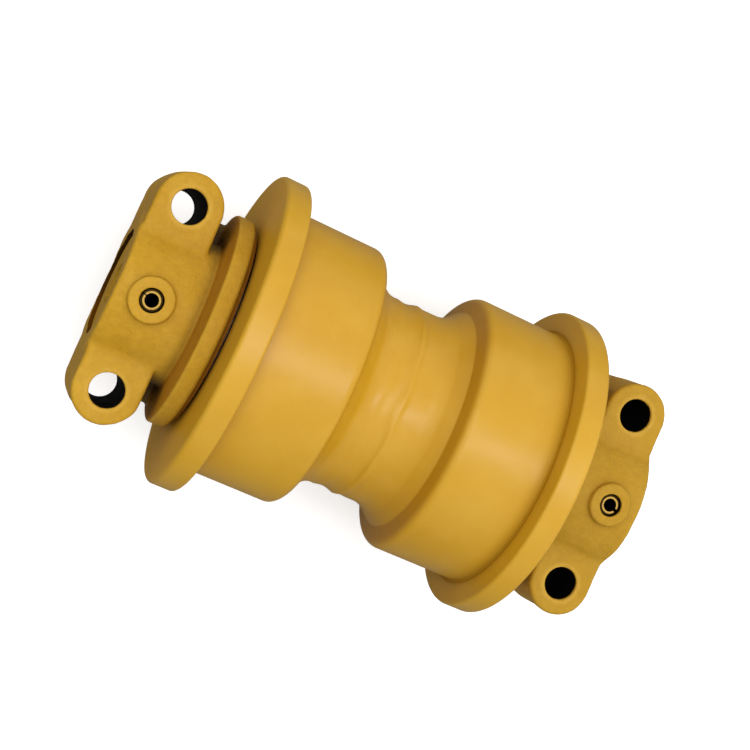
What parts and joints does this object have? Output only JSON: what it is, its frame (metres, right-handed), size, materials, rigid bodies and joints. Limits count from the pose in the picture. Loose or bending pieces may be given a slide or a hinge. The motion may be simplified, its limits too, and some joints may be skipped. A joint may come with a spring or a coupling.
{
  "type": "crawler tractor track roller",
  "caption": "Lubricated track roller with flanged treads turning on a fixed shaft between bolted cast end collars, sealed by floating face seals.",
  "frame": {"origin": "middle of the roller on its axis, which is the middle of the overall box", "axes": "+Y along the roller axis, towards the right-hand collar; +Z towards the side the bolt heads and collar pins are on; the mounting pads face -Z. In use the part is turned over so that the pads face up against the track frame and +Z points at the ground"},
  "size_m": [0.216, 0.379, 0.216],
  "materials": {
    "shell_paint": "semi-gloss yellow enamel over forged steel",
    "collar_paint": "satin yellow enamel over a cast skin",
    "ground_steel": "ground and oiled",
    "pin_steel": "spring steel, outer end painted over, bore dark",
    "bushing_steel": "turned",
    "bronze": "turned bearing bronze",
    "seal_iron": "lapped face, dark cast body",
    "seal_rubber": "black nitrile",
    "plug_steel": "dark zinc",
    "washer_metal": "dull"
  },
  "bodies": {
    "axle": {"shaft": "ground_steel", "collar_left": "collar_paint", "collar_right": "collar_paint", "collar_pins": "pin_steel", "seal_ring_fixed_left": "seal_iron", "seal_ring_fixed_right": "seal_iron", "seal_toric_fixed_left": "seal_rubber", "seal_toric_fixed_right": "seal_rubber", "shaft_oring_left": "seal_rubber", "shaft_oring_right": "seal_rubber", "oil_plug": "plug_steel", "plug_washer": "washer_metal"},
    "roller": {"roller_shell": "shell_paint", "bushing_back_left": "bushing_steel", "bushing_back_right": "bushing_steel", "bushing_lining_left": "bronze", "bushing_lining_right": "bronze", "seal_ring_rotating_left": "seal_iron", "seal_ring_rotating_right": "seal_iron", "seal_toric_rotating_left": "seal_rubber", "seal_toric_rotating_right": "seal_rubber"}
  },
  "joints": [
    {"name": "roller_spin", "type": "hinge", "parent": "axle", "child": "roller", "pos_m": [0, 0, 0], "axis": [0, 1, 0], "continuous": true}
  ]
}
